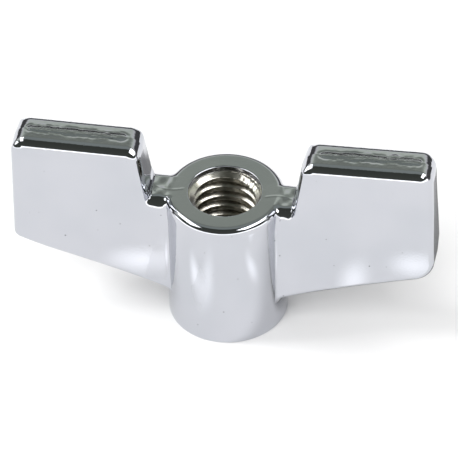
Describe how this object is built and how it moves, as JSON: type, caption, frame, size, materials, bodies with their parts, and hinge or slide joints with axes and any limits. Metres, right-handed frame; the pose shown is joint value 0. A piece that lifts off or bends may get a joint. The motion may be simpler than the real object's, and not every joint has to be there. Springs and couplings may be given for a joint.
{
  "type": "wing nut",
  "caption": "Bright-plated cast wing nut: a tall cylindrical hub with a female thread, and two broad flat wings that rise above the hub for turning it by hand.",
  "frame": {"origin": "centre of the flat seating face at the bottom of the hub, on the thread's axis", "axes": "+Z along the thread's axis from the seating face towards the wing tops, +X along the right wing, +Y towards the back"},
  "size_m": [0.0474, 0.0134, 0.0238],
  "materials": {
    "bright_plating": "polished, with faint casting pits and a ground parting line",
    "thread_metal": "bright cut thread with a warm tint"
  },
  "bodies": {
    "root": {"cast_body": "bright_plating", "thread_bush": "thread_metal"}
  },
  "joints": []
}
